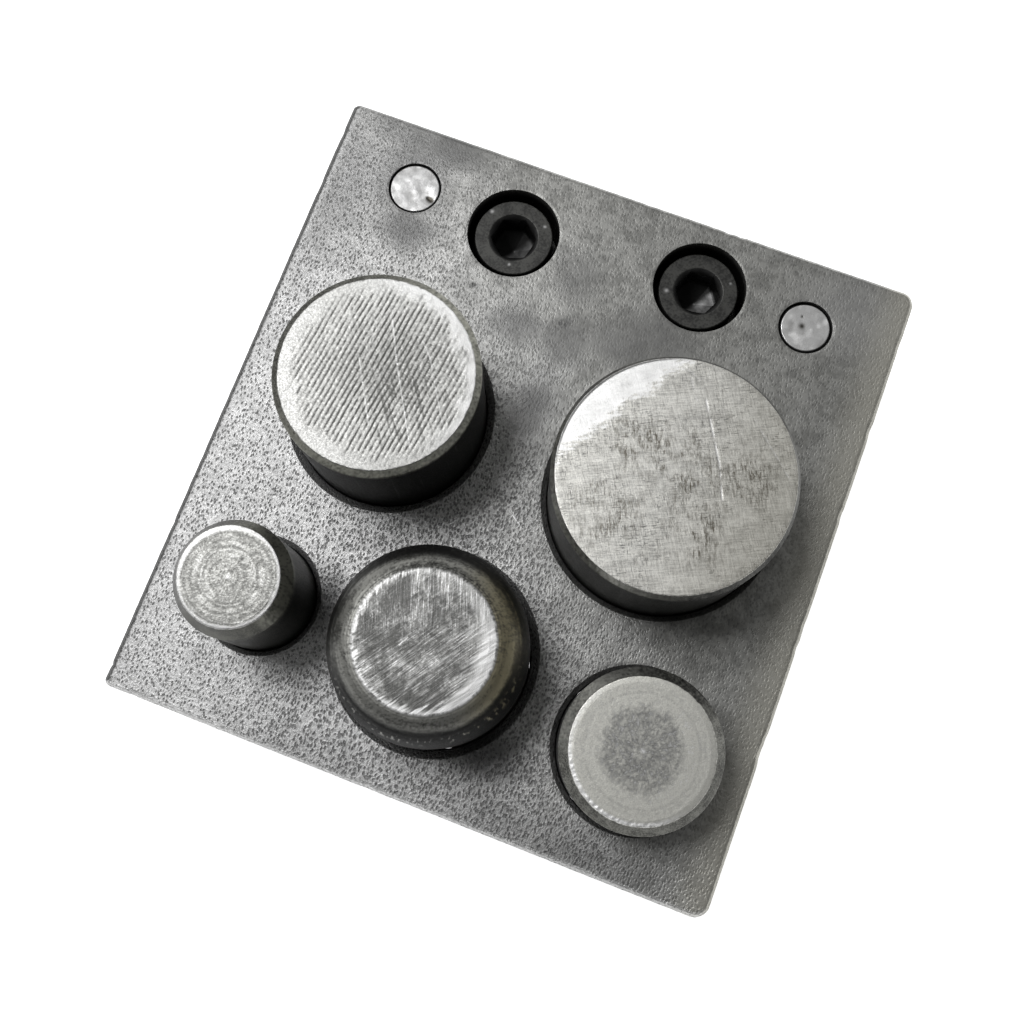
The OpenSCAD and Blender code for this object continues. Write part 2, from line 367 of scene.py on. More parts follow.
def add_lid(skin, outer, holes, z, upwards):
    """A flat face at height z: triangles between an outer loop and round hole loops, by
    the rule that no point lies inside a triangle's circle. Triangles with all three points
    on one hole's rim lie in the hole, and they are left out, like flat ones."""
    loops = [outer] + holes
    sizes = [len(loop) for loop in loops]
    starts = np.cumsum([0] + sizes)
    edges = np.concatenate([
        np.column_stack([np.arange(len(loop)), (np.arange(len(loop)) + 1) % len(loop)]) + start
        for loop, start in zip(loops, starts)])
    points = np.concatenate(loops)
    spots, _, faces, origins, *_ = delaunay_2d_cdt(
        [tuple(p) for p in points], [tuple(e) for e in edges.tolist()], [], 0, 1e-7)
    spots = np.array([tuple(p) for p in spots])
    faces = np.array(faces)
    owner = np.repeat(np.arange(len(loops)), sizes)[[origin[0] for origin in origins]][faces]
    in_hole = (owner == owner[:, :1]).all(axis=1) & (owner[:, 0] > 0)
    first, second = spots[faces[:, 1]] - spots[faces[:, 0]], spots[faces[:, 2]] - spots[faces[:, 0]]
    area = first[:, 0] * second[:, 1] - first[:, 1] * second[:, 0]
    faces = faces[~in_hole & (np.abs(area) > 1e-6)]
    if not upwards:
        faces = faces[:, ::-1]
    skin.add(np.column_stack([spots, np.full(len(spots), z)]), faces, smooth=False)


def plate(node, look, corners, edge_line, hole_list, finish, seed):
    """A plate: an edge profile carried round its outline, each hole's wall turned about
    the hole's axis, and a flat face above and below between them."""
    low, high = box_mm(node)
    skin = Skin()
    outline = Outline(low, high, corners, OUTLINE_PITCH)
    insets, heights = edge_line[:, 0], edge_line[:, 1] + low[2]
    rough = edge_nicks(outline, edge_line, high[2] - low[2], seed)
    upper = np.where(heights > (low[2] + high[2]) / 2, 1, -1)
    rows = outline.band([inset + worn for inset, worn in zip(insets, rough)],
                        [height - worn * side for height, worn, side in zip(heights, rough, upper)])
    dark, bright = edge_tones(outline, edge_line, high[2] - low[2])
    skin.add_grid(rows, groove=dark, shine=bright)
    top_rims, bottom_rims = [], []
    for at, line, columns in hole_list:
        line = line + [0, low[2]]
        grid = turned(line, at, columns)
        grid[..., 2] -= mouth_wear(grid, at, line, high[2], seed)
        skin.add_grid(grid, groove=mouth_shade(line, high[2])[:, None])
        top_rims.append(grid[0][:, :2])
        bottom_rims.append(grid[-1][:, :2])
    add_lid(skin, rows[-1][:, :2], top_rims, high[2], True)
    add_lid(skin, rows[0][:, :2], bottom_rims, low[2], False)
    return skin.piece(node + "_" + look, node, "block", finish)


def face_depth(line, thick):
    """How far each point of an edge profile lies from the nearer flat face."""
    return np.minimum(line[:, 1], thick - line[:, 1])


def edge_nicks(outline, line, thick, seed):
    """How far each point of a plate's edge is worn in: slight waves along both long
    bevels and a few short dents, fading out on the flat faces and the side."""
    along = outline.along
    waves = 0.5 + 0.5 * noise(along, along * 0, 1.3, seed)
    waves = 0.02 * waves + 0.02 * np.abs(noise(along, along * 0, 0.5, seed + 1))
    rng = np.random.default_rng(seed + 2)
    for place, depth, width in zip(rng.uniform(0, along[-1], 20), rng.uniform(0.03, 0.1, 20),
                                   rng.uniform(0.3, 0.9, 20)):
        waves = waves + depth * bell(along, place, width)
    crest = bell(face_depth(line, thick) + np.clip(line[:, 0], 0, None), EDGE_BEVEL, 0.28)
    crest[[0, -1]] = 0
    return [waves * c for c in crest]


def edge_tones(outline, line, thick):
    """Marks on a plate's edge: scale on the sides and on the bevels that face left, and
    bare metal on the bevels that face the front."""
    left = ramp(0.3, 0.8, outline.ways @ [-0.93, 0.37])[None]
    front = ramp(0.2, 0.9, outline.ways @ [0.1, -0.99])[None]
    crest = ramp(0.75, 0.5, face_depth(line, thick) + np.clip(line[:, 0], 0, None))[:, None]
    side = ramp(EDGE_BEVEL, EDGE_BEVEL + 0.4, face_depth(line, thick))
    return np.maximum(0.85 * left * crest, 0.6 * side[:, None]), 0.45 * front * crest


def mouth_wear(grid, at, line, top, seed):
    """How far a hole's mouth is worn down: slight waves round its upper edge."""
    angle = np.arctan2(grid[..., 1] - at[1], grid[..., 0] - at[0])
    reach = line[:, 0].max() * 3
    wave = noise(np.cos(angle) * reach + 40, np.sin(angle) * reach + 40, 1.7, seed + 5)
    below = top - line[:, 1]
    crest = bell(below, 0.15, 0.25) * (np.arange(len(line)) > 0)
    return 0.06 * (wave * 0.5 + 0.5) * crest[:, None]


def mouth_shade(line, top):
    """Painted shade in a hole: 1 on its wall, less on its bevel, 0 on the flat face around it."""
    below = top - line[:, 1]
    wall = line[np.argmin(np.abs(below - min(1.4, below.max() / 2))), 0]
    bevel = line[:, 0] > wall + 0.08
    inside = ramp(0.0, 0.12, below) * ramp(0.0, 0.12, line[:, 1] - line[:, 1].min())
    return inside * np.where(bevel & (below < 1.5), 0.25, 1.0)


def hole_line(corners, thick, margin, pitch, bevel, fillet):
    """A hole's wall from the top down: a margin on the flat face above, the corners given,
    a bevel below them, and a margin on the flat face underneath."""
    wide, narrow = corners[0][0], corners[-1][0]
    return rounded_line([
        (wide + margin, thick, 0, pitch), *corners, (narrow, bevel, fillet, pitch),
        (narrow + bevel, 0, fillet, pitch), (narrow + bevel + margin, 0, 0, pitch)])


def bore_line(r, mouth, thick):
    """Wall of a punch's bore in the guide plate, with a bevelled mouth."""
    corners = [(r + mouth, thick, 0.12, BORE_PITCH), (r, thick - mouth, 0.15, 3.0)]
    return hole_line(corners, thick, BORE_MARGIN, BORE_PITCH, BACK_BEVEL, 0.08)


def die_line(r, thick):
    """Wall of a die bore: a sharp cutting edge, a land, and a wider relief below it."""
    land, wide = thick - LAND_HEIGHT, r + DIE_RELIEF
    corners = [(r, thick, 0.04, 2.0), (r, land, 0.05, BORE_PITCH), (wide, land, 0.05, 2.0)]
    return hole_line(corners, thick, BORE_MARGIN, BORE_PITCH, BACK_BEVEL, 0.08)


def plain_line(r, thick, bevel):
    """Wall of a plain hole with a sharp upper edge and a bevel of that width below."""
    return hole_line([(r, thick, 0.05, 3.0)], thick, HOLE_MARGIN, HOLE_PITCH, bevel, 0.04)


def counterbore_line(wide, narrow, seat, thick):
    """Wall of a counterbored screw hole with its flat seat at that height."""
    corners = [(wide, thick, 0.04, 1.5), (wide, seat, 0.15, 0.4), (narrow, seat, 0.05, 2.0)]
    return hole_line(corners, thick, HOLE_MARGIN, HOLE_PITCH, BACK_BEVEL, 0.06)


def plate_edge(thick):
    """Edge of a plate as (inset, height) from its bottom face round to its top face."""
    fillet, margin = 0.14, 0.72
    return rounded_line([
        (margin, 0, 0, 0.12), (EDGE_BEVEL, 0, fillet, 0.12), (0, EDGE_BEVEL, fillet, 0.9),
        (0, thick - EDGE_BEVEL, fillet, 0.12), (EDGE_BEVEL, thick, fillet, 0.12),
        (margin, thick, 0, 0.12)])


def strip_edge(thick):
    """Edge of the spacer strip as (inset, height) from its bottom face to its top face."""
    fillet, margin = 0.06, 0.2
    return rounded_line([
        (margin, 0, 0, 0.06), (0, 0, fillet, 0.3), (0, thick, fillet, 0.06),
        (margin, thick, 0, 0.06)])


def bores(wall):
    """The punches' bores as (middle, wall, columns)."""
    return [(middle("punch_" + name), wall(radius("punch_" + name) + PUNCH_FIT, sizes), BORE_COLUMNS)
            for name, sizes in PUNCHES.items()]


def screw_holes(gap, thick, bevel):
    """Plain holes round the screws' shanks as (middle, wall, columns)."""
    return [(middle(node), plain_line(SCREW_DIAMETER / 2 + gap, thick, bevel), HOLE_COLUMNS)
            for node in SCREW_NODES]


def dowel_holes(thick, bevel):
    """The dowels' holes as (middle, wall, columns)."""
    return [(middle(node), plain_line(radius(node) + DOWEL_FIT, thick, bevel), HOLE_COLUMNS)
            for node in DOWEL_NODES]


def build_guide_plate(finish):
    """The plate on top, with five bevelled bores, two counterbores and two dowel holes."""
    thick, foot = thickness("guide_plate"), box_mm("guide_plate")[0][2]
    holes = bores(lambda r, sizes: bore_line(r, sizes["mouth"], thick))
    for node in SCREW_NODES:
        seat = box_mm(node)[1][2] - HEAD_HEIGHT - foot
        line = counterbore_line(COUNTERBORE / 2, SCREW_DIAMETER / 2 + SHANK_GAP, seat, thick)
        holes.append((middle(node), line, COUNTERBORE_COLUMNS))
    holes += dowel_holes(thick, BACK_BEVEL)
    return plate("guide_plate", "blasted", PLATE_CORNERS, plate_edge(thick), holes, finish, seed=11)


def build_die_plate(finish):
    """The plate underneath, with relieved cutting bores and tapped holes."""
    thick = thickness("die_plate")
    holes = bores(lambda r, sizes: die_line(r, thick))
    holes += screw_holes(THREAD_FIT, thick, BACK_BEVEL) + dowel_holes(thick, BACK_BEVEL)
    return plate("die_plate", "blasted", PLATE_CORNERS, plate_edge(thick), holes, finish, seed=29)


def build_spacer_strip(finish):
    """The ground strip between the plates, along their back edge."""
    thick = thickness("spacer_strip")
    holes = screw_holes(SHANK_GAP, thick, STRIP_BEVEL) + dowel_holes(thick, STRIP_BEVEL)
    return plate("spacer_strip", "ground", STRIP_CORNERS, strip_edge(thick), holes, finish, seed=47)


# ---------------------------------------------------------------- punches

def punch_line(r, height, sizes):
    """Half outline of a punch with a plain bevel, from its foot's middle to its face's."""
    struck = r - sizes["bevel"]
    return rounded_line([
        (0, 0, 0, 1.2), (r - FOOT, 0, 0.1, 0.15), (r, FOOT, 0.1, 0.9),
        (r, height - sizes["bevel_height"], 0.15, 0.1),
        (struck, height - sizes["crown"], 0.09, FACE_PITCH),
        (struck - sizes["rim"], height, 1.5, FACE_PITCH), (0, height, 0, FACE_PITCH)])


def shouldered_line(r, height, sizes):
    """Half outline of the punch with a round shoulder: its side rises to a quarter of an
    ellipse that ends at the struck face."""
    wide, tall = sizes["bevel"], sizes["bevel_height"]
    side = rounded_line([(0, 0, 0, 1.2), (r - FOOT, 0, 0.1, 0.15), (r, FOOT, 0.1, 0.9),
                         (r, height - tall, 0, 0.1)])
    angle = np.radians(np.linspace(2, 86, 44))
    shoulder = np.column_stack([r - wide + wide * np.cos(angle),
                                height - tall + (tall - sizes["crown"]) * np.sin(angle)])
    face = rounded_line([
        (r - wide, height - sizes["crown"], 0, FACE_PITCH),
        (r - wide - sizes["rim"], height, 1.5, FACE_PITCH), (0, height, 0, FACE_PITCH)])
    return np.concatenate([side, shoulder, face])


def filed_face(at, edge):
    """Coarse file strokes nearly square to the block's front: a wave across the strokes,
    broken up a little along each of them, and fading out towards the rim."""
    x, y, r = at.x, at.y, at.r
    turn, pitch = math.radians(7.3), 0.545
    along = x * math.sin(turn) + y * math.cos(turn)
    across = x * math.cos(turn) - y * math.sin(turn)
    wobble = 0.06 * noise(across, along, 3.5, 3) + 0.02 * noise(across, along, 0.7, 4)
    phase = (across + wobble) / pitch
    wave = 0.5 - 0.5 * np.cos(2 * np.pi * phase)
    line = np.floor(phase) * 7.0
    dash = 0.6 * noise(line, along, 1.4, 5) + 0.6 * noise(line + 3, along, 0.3, 6)
    ragged = r / edge + 0.05 * at.noise(1.3, 7) - 0.04 * (x + 0.3 * y) / edge
    fade = 1 - ramp(0.78, 0.97, ragged + 0.06 * noise(line, along, 0.9, 10))
    stroke = ramp(0.5, 1.0, wave) * (0.9 - 0.75 * dash)
    cross = ramp(0.3, 0.85, at.streaks(127, 2.4, 0.2, 8))
    cross *= ramp(-1.5, 4.5, x * 0.85 - y * 0.5)
    hollow = 0.4 * (1 - ramp(0.1, 0.8, np.hypot(x - 1.2, y - 1.0) / edge))
    shine = 0.6 * at.scratch(0.05, (-2.48, 1.21), (-0.97, -1.45), (1.38, -5.5))
    shine += 0.7 * at.scratch(0.05, (-0.57, 6.07), (1.34, 2.35), (3.69, -1.74), (6.18, -5.99))
    shine += 0.4 * at.scratch(0.05, (3.24, 5.12), (4.71, 3.56), (8.62, -2.77))
    shine *= 0.45 + 0.55 * ramp(-0.6, 0.5, at.noise(0.35, 14))
    # painted highlight: beyond the strokes the rim is painted bright, most at the back right and a
    # little at the front left
    right = ramp(0.0, 0.9, at.toward(0.73, 0.63) / edge)
    left = ramp(0.0, 0.9, -at.toward(0.78, 0.56) / edge)
    shine = np.clip(shine * fade + (0.8 * right + 0.1 * left) * (1 - fade), 0, 1)
    fine = 0.28 * at.noise(0.15, 9)
    groove = np.clip((stroke + 0.45 * cross) * fade + hollow * fade + fine, 0, 1) * (1 - 0.8 * shine)
    return 0.03 * groove, groove, shine


def ground_face(at, edge):
    """A ground face with one low facet at the back left, painted bright as a highlight where
    it catches the light, and a few long scratches.
    """
    x, y, r = at.x, at.y, at.r
    facet = 0.54 * y - 0.84 * x - 8.3 + 0.5 * at.noise(1.8, 11)
    facet = np.clip(facet + 0.35 * at.streaks(25, 1.6, 0.3, 13), 0, None)
    long_line = at.scratch(0.07, (0.27, 8.66), (3.9, 2.5), (5.3, -0.8))
    others = at.scratch(0.06, (5.73, 8.42), (11.15, 3.63))
    others += at.scratch(0.06, (-3.71, 11.6), (-1.03, 10.49))
    others += at.scratch(0.06, (-2.0, 10.4), (-0.6, 8.3))
    broken = ramp(-1.0, 0.3, at.noise(0.5, 12))
    shine = np.clip((0.95 * long_line + 0.5 * others) * broken, 0, 1)
    grains = 1.2 * at.streaks(25, 0.7, 0.13, 15) + 0.8 * at.noise(0.15, 16)
    # painted highlight: the facet is painted bright where it catches the light
    bright = 0.9 * ramp(0.3, 1.1, facet + grains * ramp(2.4, 0.4, facet))
    bright = bright * ramp(0.0, 0.3, facet)
    return 0.04 * facet + 0.035 * shine, 0 * r, np.clip(shine + bright, 0, 1)


def turned_face(at, edge):
    """A turned face: rings left by the tool, a smooth rim painted bright as a highlight, most
    at the front right, with a groove inside it, a small dark pit, and the centre mark
    painted as a bright glint."""
    r = at.r
    rings = 0.6 * at.rings(0.13, 0.8, 131) + 0.3 * at.rings(0.26, 1.2, 134)
    rings += 0.65 * at.noise(0.15, 27) + 0.35 * at.noise(0.5, 28)
    wide = 0.25 + 0.35 * ramp(0.1, 1, at.toward(-0.7, 0.7) / edge)
    rim = ramp(edge - wide - 0.14, edge - wide + 0.1, r + 0.08 * at.noise(0.5, 22))
    groove = 0.75 * ramp(-0.8, 1.2, rings) * (1 - rim)
    inner = bell(r, edge - wide - 0.2, 0.16) * ramp(-0.6, 0.4, at.noise(1.4, 23))
    groove = np.maximum(groove, 0.7 * inner * (1 - rim))
    groove = np.maximum(groove, at.spot(0.62, 2.18, 0.25))
    # painted glint: the centre mark is painted as a bright dot
    spot = 1 - ramp(0.1, 0.32, r)
    # painted highlight: the rim is painted bright, most at the front right
    lit = ramp(0.9, -0.6, at.toward(-0.7, 0.7) / edge)
    shine = (0.5 + 0.4 * lit) * rim + 0.4 * ramp(0.3, 1.2, -rings)
    shine = np.clip(shine + spot, 0, 1)
    return 0.02 * groove * (1 - spot), groove * (1 - shine), shine


def worn_face(at, edge):
    """A worn face: upright scratches at the back, slanting ones elsewhere, dull patches, and a
    rim painted bright as a highlight, wider at the right, brightest at the front and painted
    darker at the back as shade."""
    x, y, r = at.x, at.y, at.r
    back = ramp(-0.5, 4.0, y * 0.92 - x * 0.38 + 1.2 * at.noise(1.2, 37))
    slant = 0.6 * at.streaks(57, 3.0, 0.15, 31) + 0.6 * at.streaks(50, 1.6, 0.15, 32)
    upright = 0.55 * at.streaks(112, 2.4, 0.15, 33) + 0.5 * at.streaks(106, 1.4, 0.15, 34)
    lines = slant * (1 - back) + upright * back
    patch = 0.6 * at.noise(1.5, 35) + 0.4 * at.noise(0.5, 36)
    patch = patch + 0.3 * at.noise(0.17, 38) - 0.7 * ramp(0.2, 1, at.toward(0.5, 0.87) / edge)
    width = 0.25 + 1.25 * ramp(0.1, 0.9, at.toward(0.95, 0.3) / edge)
    width += 0.25 * ramp(0.3, 1.0, -at.toward(-0.38, 0.92) / edge)
    rim = ramp(edge - 1.7 * width, edge - 0.1 * width, r + 0.5 * lines)
    fine = 0.5 * at.streaks(60, 0.8, 0.1, 39) + 0.6 * at.noise(0.13, 40)
    patch = patch + 0.5 * fine
    dull = ramp(-1.0, 0.5, patch) * (1 - 0.85 * rim)
    low = ramp(-0.6, 0.6, at.toward(0.4, -0.92) / edge)
    behind = ramp(0.6, 1, at.toward(0.11, 0.99) / edge)
    # painted highlight on the rim, brightest at the front, with painted shade at the back
    shine = rim * (0.3 + 0.5 * low + 0.3 * lines) * (1 - 0.6 * behind)
    shine += ramp(0.3, 0.9, lines) * (0.05 + 0.15 * low + 0.15 * (1 - dull))
    for dent_x, dent_y in [(-1.92, -0.69), (0.57, -2.0), (-2.2, -1.2)]:
        dent = at.scratch(0.06, (dent_x, dent_y), (dent_x + 0.2, dent_y + 0.5))
        shine = np.maximum(shine, 0.6 * dent)
    shine = np.clip(shine, 0, 1)
    return -0.008 * lines * (1 - rim), 0.78 * dull * (1 - shine), shine


def dull_face(at, edge):
    """A dull turned face: a pale smooth ring outside, a rougher grey disc inside it, a
    highlight painted along the rim at the front, and a faint centre mark painted as a glint."""
    x, y, r = at.x, at.y, at.r
    ragged = r + 0.5 * at.noise(1.1, 41) + 0.45 * at.noise(0.3, 42)
    disc = 1 - ramp(3.2, 5.2, ragged)
    rings = at.rings(0.3, 3.0, 43)
    fine = 0.7 * at.noise(0.17, 46) + 0.5 * at.noise(0.3, 47)
    arc = bell(r, 5.3, 0.7) * ramp(0.0, 0.8, (x + 0.1 * y) / edge)
    groove = 0.62 * disc + 0.22 * ramp(-0.2, 0.9, rings) * ramp(edge - 0.6, edge - 1.6, r)
    groove += 0.4 * fine * (0.7 + 0.6 * disc) + 0.35 * arc * ramp(0, 0.7, -fine)
    shine = ramp(0.35, 0.8, fine) * (0.1 + 0.3 * disc + 0.5 * arc)
    # painted highlight along the rim, strongest at the front
    lit = np.maximum(0.3 * ramp(0.0, 0.7, -at.toward(0.8, 0.6) / edge),
                     ramp(0.2, 0.8, -at.toward(0.28, 0.95) / edge))
    fringe = lit * ramp(edge - 0.5, edge - 0.25, r)
    shine = shine + fringe * (1.1 + 0.6 * fine)
    spot = 1 - ramp(0.12, 0.36, r)
    burr = 0.035 * fringe * at.noise(0.2, 48)
    return 0.012 * groove + burr, np.clip(groove, 0, 1), np.clip(shine + 0.5 * spot, 0, 1)


def shoulder_wear_and_shade(at, sizes, edge):
    """Marks on the round shoulder: arcs that are rubbed brighter, more of them at the
    back and the right, specks near its lower end, a dark line under the face's rim, and
    its outer part darkened at the front as painted shade and at the back as well."""
    across = (at.r - edge) / sizes["bevel"]
    arcs = 0.6 * at.rings(0.3, 2.2, 51) + 0.6 * at.rings(0.14, 1.1, 54)
    arcs += 0.45 * at.noise(0.2, 57)
    side = at.toward(0.97, 0.25) / np.maximum(at.r, 0.1)
    front = at.toward(0.38, -0.92) / np.maximum(at.r, 0.1)
    right = 1.3 * ramp(0.2, 0.9, side) * bell(across, 0.52, 0.24)
    left = ramp(0.35, 0.9, -side) * (1 - ramp(0.6, 0.85, across))
    back = ramp(0.3, 0.9, -front) * bell(across, 0.32, 0.08)
    low = 0.6 * ramp(0.2, 0.9, front) * (1 - ramp(0.15, 0.35, across))
    zones = np.clip(right + left + back + low, 0, 1.3)
    fine = 0.7 * at.noise(0.13, 59) + 0.5 * at.streaks(20, 0.3, 0.1, 60)
    inner = 1 - ramp(0.35, 0.6, across)
    rubbed = 0.75 * ramp(-0.3, 1.0, arcs) * zones + 0.3 * zones
    lift = 0.3 + 0.4 * ramp(-0.2, 0.8, front) + 0.35 * ramp(0.1, 0.9, side)
    lift = lift - 0.35 * ramp(0.0, 0.7, -front) * ramp(0.26, 0.16, across)
    rubbed = rubbed + (lift + 0.3 * fine + 0.25 * arcs) * inner
    speck = ramp(0.3, 0.6, at.noise(0.24, 58)) * bell(across, 0.8, 0.08)
    rubbed = rubbed * (1 + 0.5 * fine) + 0.1 * ramp(0, 1, arcs) + speck * ramp(0, 0.7, front)
    # painted shade: the outer shoulder is darkened at the front, where it lies in shade, and at the
    # back too
    dark = 0.95 * ramp(-0.1, 0.6, front) * ramp(0.42, 0.62, across + 0.04 * fine)
    dark = np.maximum(dark, 0.7 * ramp(0.3, 0.9, -front) * ramp(0.5, 0.62, across + 0.04 * fine))
    on = ramp(0.0, 0.05, across)
    return arcs * on, dark * (1 - 0.8 * speck), np.clip(rubbed, 0, 1) * on


def bevel_wear_and_shade(at, sector):
    """One sector of a plain bevel, broken up by slanting ticks: where it is rubbed, and where it is
    darkened as painted shade.
    """
    turn, wide, share = sector
    way = math.radians(turn)
    toward = at.toward(math.cos(way), math.sin(way)) / np.maximum(at.r, 0.1)
    sector = ramp(math.cos(math.radians(wide * 1.2)), math.cos(math.radians(wide * 0.6)), toward)
    ticks = 0.4 * at.streaks(turn + 60, 0.5, 0.13, 64) + 0.7 * at.noise(0.17, 65)
    return share * sector * np.clip(0.75 + 0.6 * ticks, 0, 1.3)


def build_punch(name, face, finish):
    """One punch: its half outline turned about its axis, the struck face worked by its
    own pattern, and slight wear along its bevel."""
    node, sizes = "punch_" + name, PUNCHES[name]
    at, r_side, top = middle(node), radius(node), box_mm(node)[1][2]
    shouldered = "rubbed" not in sizes
    line = (shouldered_line if shouldered else punch_line)(r_side, top, sizes)
    grid = turned(line, at, PUNCH_COLUMNS)
    spots = Spots(grid, at)
    r, edge = spots.r, r_side - sizes["bevel"]
    height = np.broadcast_to(line[:, 1, None], r.shape)
    corner = top - sizes["bevel_height"]
    above = ramp(corner - 0.3, corner, height)
    chips = 0.02 * spots.noise(0.5, 61) + 0.03 * spots.noise(0.17, 62)
    on_face = (1 - ramp(edge - 0.02, edge + 0.06, r + chips)) * (height > top - 0.4)
    drop, groove, shine = face(spots, edge)
    inside = on_face * (1 - ramp(edge - 0.1, edge, r))
    grid[..., 2] -= drop * inside
    band = above * (1 - on_face)
    tinted = ramp(corner - sizes["fade"], corner, height) * (1 - on_face)
    if shouldered:
        arcs, bevel_shade, rubbed = shoulder_wear_and_shade(spots, sizes, edge)
        grid[..., 2] -= band * (0.03 * (arcs + 1) + 0.08 * bevel_shade)
        shine = shine * on_face + band * rubbed
    else:
        grid[..., 2] -= band * 0.03 * (1 + spots.noise(0.9, 63))
        shine = shine * on_face + tinted * bevel_wear_and_shade(spots, sizes["rubbed"])
        # painted shade on one sector of the bevel
        bevel_shade = bevel_wear_and_shade(spots, sizes["grimy"])
    skin = Skin()
    skin.add_grid(grid, face=on_face, bevel=tinted, shine=shine,
                  groove=groove * on_face + bevel_shade * band)
    return skin.piece(name + "_punch_turned", node, name + "_punch", finish)


# ---------------------------------------------------------------- screws and dowels

def hexagon(angle, across):
    """Reach of a hexagon for each angle: half the width across its flats over the cosine
    of the angle from the nearest flat's middle."""
    return across / 2 / np.cos((angle + np.pi / 6) % (np.pi / 3) - np.pi / 6)


def screw_rows(tip, seat, top, reach):
    """A cap screw's outside as (radius, height) rows from the tip of its shank round the
    head to the rim of the countersink."""
    r_shank = SCREW_DIAMETER / 2
    return rounded_line([
        (0, tip, 0, 0.5), (r_shank - TIP_BEVEL, tip, 0.08, 0.15),
        (r_shank, tip + TIP_BEVEL, 0.08, 0.1), (r_shank, seat, 0.12, 0.4),
        (reach, seat, 0.12, 0.25), (reach, top - HEAD_BEVEL, 0.04, 0.06),
        (reach - HEAD_BEVEL, top, 0.04, 0.12), (COUNTERSINK, top, 0, 0.12)])


def socket_rows(top, flats):
    """The socket as rows of (radius for each angle, height): a countersink, six flats and
    the end of the drilled hole below them."""
    rows = []
    for share in np.linspace(0.08, 1, 9):
        depth = share * (COUNTERSINK - HEX_ACROSS / 2)
        rows.append((np.maximum(COUNTERSINK - depth, flats), top - depth))
    for share in np.linspace(0, 1, 8)[1:]:
        rows.append((flats, rows[8][1] * (1 - share) + (top - HEX_DEPTH) * share))
    for share in np.linspace(0, 1, 12)[1:]:
        round_off = np.minimum(flats, HEX_ACROSS / 2)
        reach = flats * (1 - share) + round_off * share
        rows.append((reach * (1 - share), top - HEX_DEPTH - 1.3 * share))
    return rows


def build_screw(side, hex_turn, floor_light, flecks, finish):
    """A cap screw turned about its axis: the head's side is pressed in by a triangle wave
    round it, the shank by one along a helix, and the socket follows a hexagon."""
    node = "screw_" + side
    low, high = box_mm(node)
    at, top, tip = middle(node), high[2], low[2]
    seat, reach = top - HEAD_HEIGHT, radius(node)
    angle = np.arange(SCREW_COLUMNS) * 2 * np.pi / SCREW_COLUMNS
    line = screw_rows(tip, seat, top, reach)
    flute = np.abs((angle * FLUTES / 2 / np.pi) % 1 - 0.5)[None]
    height = line[:, 1, None]
    on_side = (line[:, 0, None] > reach - 0.05) & (height > seat + 0.9) & (height < top - 0.9)
    turn = (height - tip) / THREAD_PITCH - angle[None] / 2 / np.pi
    wave = np.clip(np.abs(turn % 1 - 0.5) * 2.6 - 0.15, 0, 1)
    threaded = ramp(tip + 0.2, tip + 0.9, height) * (1 - ramp(seat - 2.2, seat - 1.2, height))
    r = line[:, 0, None] - 0.16 * flute * on_side - 0.6 * wave * threaded
    sockets = socket_rows(top, hexagon(angle + math.radians(hex_turn), HEX_ACROSS))
    r = np.concatenate([r, [reaches for reaches, _ in sockets]])
    z = np.concatenate([line[:, 1], [level for _, level in sockets]])[:, None] + 0 * r
    grid = np.stack([at[0] + r * np.cos(angle), at[1] + r * np.sin(angle), z], axis=-1)
    inside = (np.arange(len(r)) >= len(line))[:, None]
    floor = inside & (z < top - HEX_DEPTH + 0.02)
    spots = Spots(grid, at)
    fleck = sum(spots.spot(*place) for place in flecks) * (z > top - 0.5)
    # uneven brightness of the painted light on the socket floor
    worn = 0.6 + 0.5 * spots.noise(0.8, 75 + len(side)) + 0.2 * spots.noise(0.25, 76)
    # painted light and shadow: the socket floor is painted lit at the front right and dark elsewhere
    lit = ramp(-0.1, 0.9, spots.toward(0.8, -0.6) + 0.3 * spots.noise(1.1, 77))
    # painted shade in the countersink
    sunk = inside * ramp(COUNTERSINK, COUNTERSINK - 0.5, r)
    skin = Skin()
    skin.add_grid(grid, face=(~inside & (z > top - 0.4)).astype(float),
                  groove=np.where(floor, 1 - lit, sunk),
                  shine=np.where(floor, np.clip(floor_light * worn * lit, 0, 1), fleck))
    return skin.piece(node + "_black", node, "block", finish)


def build_dowel(side, pits, finish):
    """A dowel with bevelled ends, its upper end dented and with a few deeper spots."""
    node = "dowel_" + side
    low, high = box_mm(node)
    at, r_side, bevel = middle(node), radius(node), DOWEL_BEVELS[side]
    line = rounded_line([
        (0, low[2], 0, 0.4), (r_side - bevel, low[2], 0.08, 0.1),
        (r_side, low[2] + bevel, 0.08, 1.0), (r_side, high[2] - bevel, 0.08, 0.08),
        (r_side - bevel, high[2], 0.08, 0.08), (0, high[2], 0, 0.08)])
    grid = turned(line, at, DOWEL_COLUMNS)
    spots = Spots(grid, at)
    end = (spots.r < r_side - bevel + 0.06) & (grid[..., 2] > high[2] - 0.3)
    dents = 0.5 + 0.5 * spots.noise(0.8, 81 + len(side))
    pitted = sum(spots.spot(*place) for place in pits)
    grid[..., 2] -= end * (0.03 * dents + 0.03 * pitted)
    skin = Skin()
    skin.add_grid(grid, face=end.astype(float), groove=end * np.clip(pitted + 0.35 * dents ** 3, 0, 1),
                  shine=end * ramp(0.2, 0.9, -spots.noise(0.7, 91 + len(side))))
    return skin.piece(node + "_ground", node, "block", finish)


# ---------------------------------------------------------------- finishes

